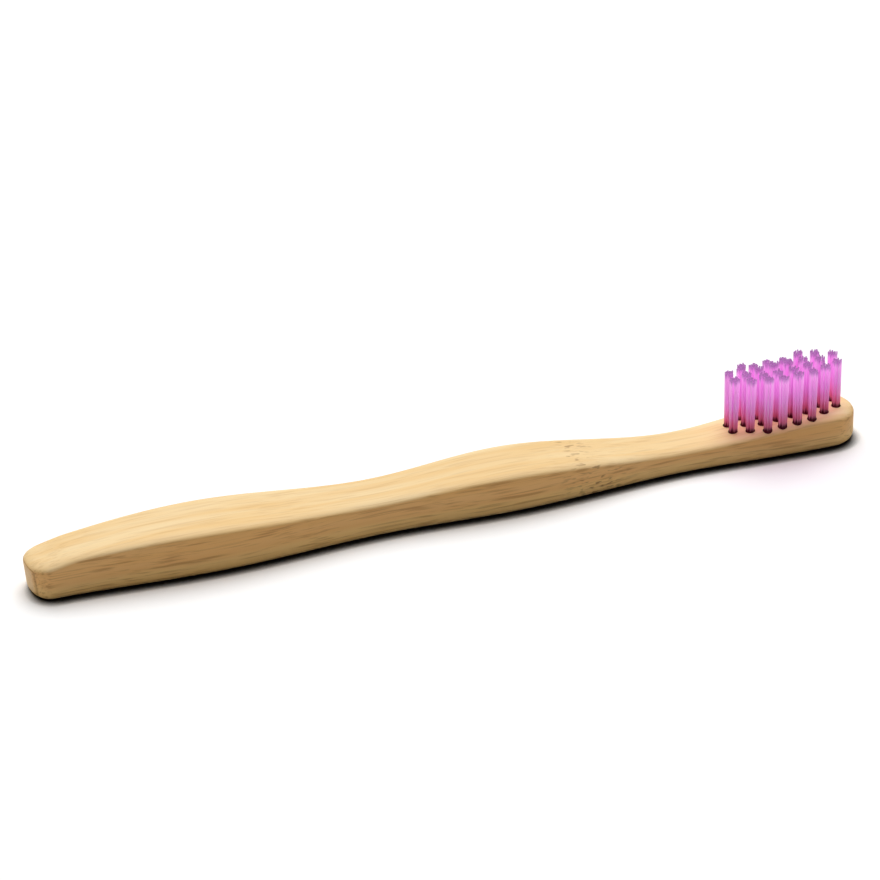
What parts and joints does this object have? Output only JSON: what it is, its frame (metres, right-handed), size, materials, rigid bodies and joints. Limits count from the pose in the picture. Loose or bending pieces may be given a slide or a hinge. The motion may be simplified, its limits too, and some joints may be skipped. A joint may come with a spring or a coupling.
{
  "type": "manual toothbrush",
  "caption": "Small manual toothbrush: flat bamboo handle with a wavy outline, slim neck and oval head, with level-trimmed nylon tufts set on hidden wire anchors.",
  "frame": {"origin": "on the flat back, under the middle of the brush's length and width", "axes": "+X from the butt of the handle to the tip of the head, +Z out of the head along the bristles"},
  "size_m": [0.1432, 0.0114, 0.015],
  "materials": {
    "bamboo": "sanded, bare",
    "bristle_nylon": "extruded, satin",
    "anchor_wire": "drawn flat wire"
  },
  "bodies": {
    "root": {"handle": "bamboo", "tuft_c1_r1": "bristle_nylon", "tuft_c1_r2": "bristle_nylon", "tuft_c2_r1": "bristle_nylon", "tuft_c2_r2": "bristle_nylon", "tuft_c2_r3": "bristle_nylon", "tuft_c3_r1": "bristle_nylon", "tuft_c3_r2": "bristle_nylon", "tuft_c3_r3": "bristle_nylon", "tuft_c3_r4": "bristle_nylon", "tuft_c4_r1": "bristle_nylon", "tuft_c4_r2": "bristle_nylon", "tuft_c4_r3": "bristle_nylon", "tuft_c4_r4": "bristle_nylon", "tuft_c5_r1": "bristle_nylon", "tuft_c5_r2": "bristle_nylon", "tuft_c5_r3": "bristle_nylon", "tuft_c5_r4": "bristle_nylon", "tuft_c6_r1": "bristle_nylon", "tuft_c6_r2": "bristle_nylon", "tuft_c6_r3": "bristle_nylon", "tuft_c6_r4": "bristle_nylon", "tuft_c7_r1": "bristle_nylon", "tuft_c7_r2": "bristle_nylon", "tuft_c7_r3": "bristle_nylon", "tuft_c8_r1": "bristle_nylon", "tuft_c8_r2": "bristle_nylon", "anchor_c1_r1": "anchor_wire", "anchor_c1_r2": "anchor_wire", "anchor_c2_r1": "anchor_wire", "anchor_c2_r2": "anchor_wire", "anchor_c2_r3": "anchor_wire", "anchor_c3_r1": "anchor_wire", "anchor_c3_r2": "anchor_wire", "anchor_c3_r3": "anchor_wire", "anchor_c3_r4": "anchor_wire", "anchor_c4_r1": "anchor_wire", "anchor_c4_r2": "anchor_wire", "anchor_c4_r3": "anchor_wire", "anchor_c4_r4": "anchor_wire", "anchor_c5_r1": "anchor_wire", "anchor_c5_r2": "anchor_wire", "anchor_c5_r3": "anchor_wire", "anchor_c5_r4": "anchor_wire", "anchor_c6_r1": "anchor_wire", "anchor_c6_r2": "anchor_wire", "anchor_c6_r3": "anchor_wire", "anchor_c6_r4": "anchor_wire", "anchor_c7_r1": "anchor_wire", "anchor_c7_r2": "anchor_wire", "anchor_c7_r3": "anchor_wire", "anchor_c8_r1": "anchor_wire", "anchor_c8_r2": "anchor_wire"}
  },
  "joints": []
}
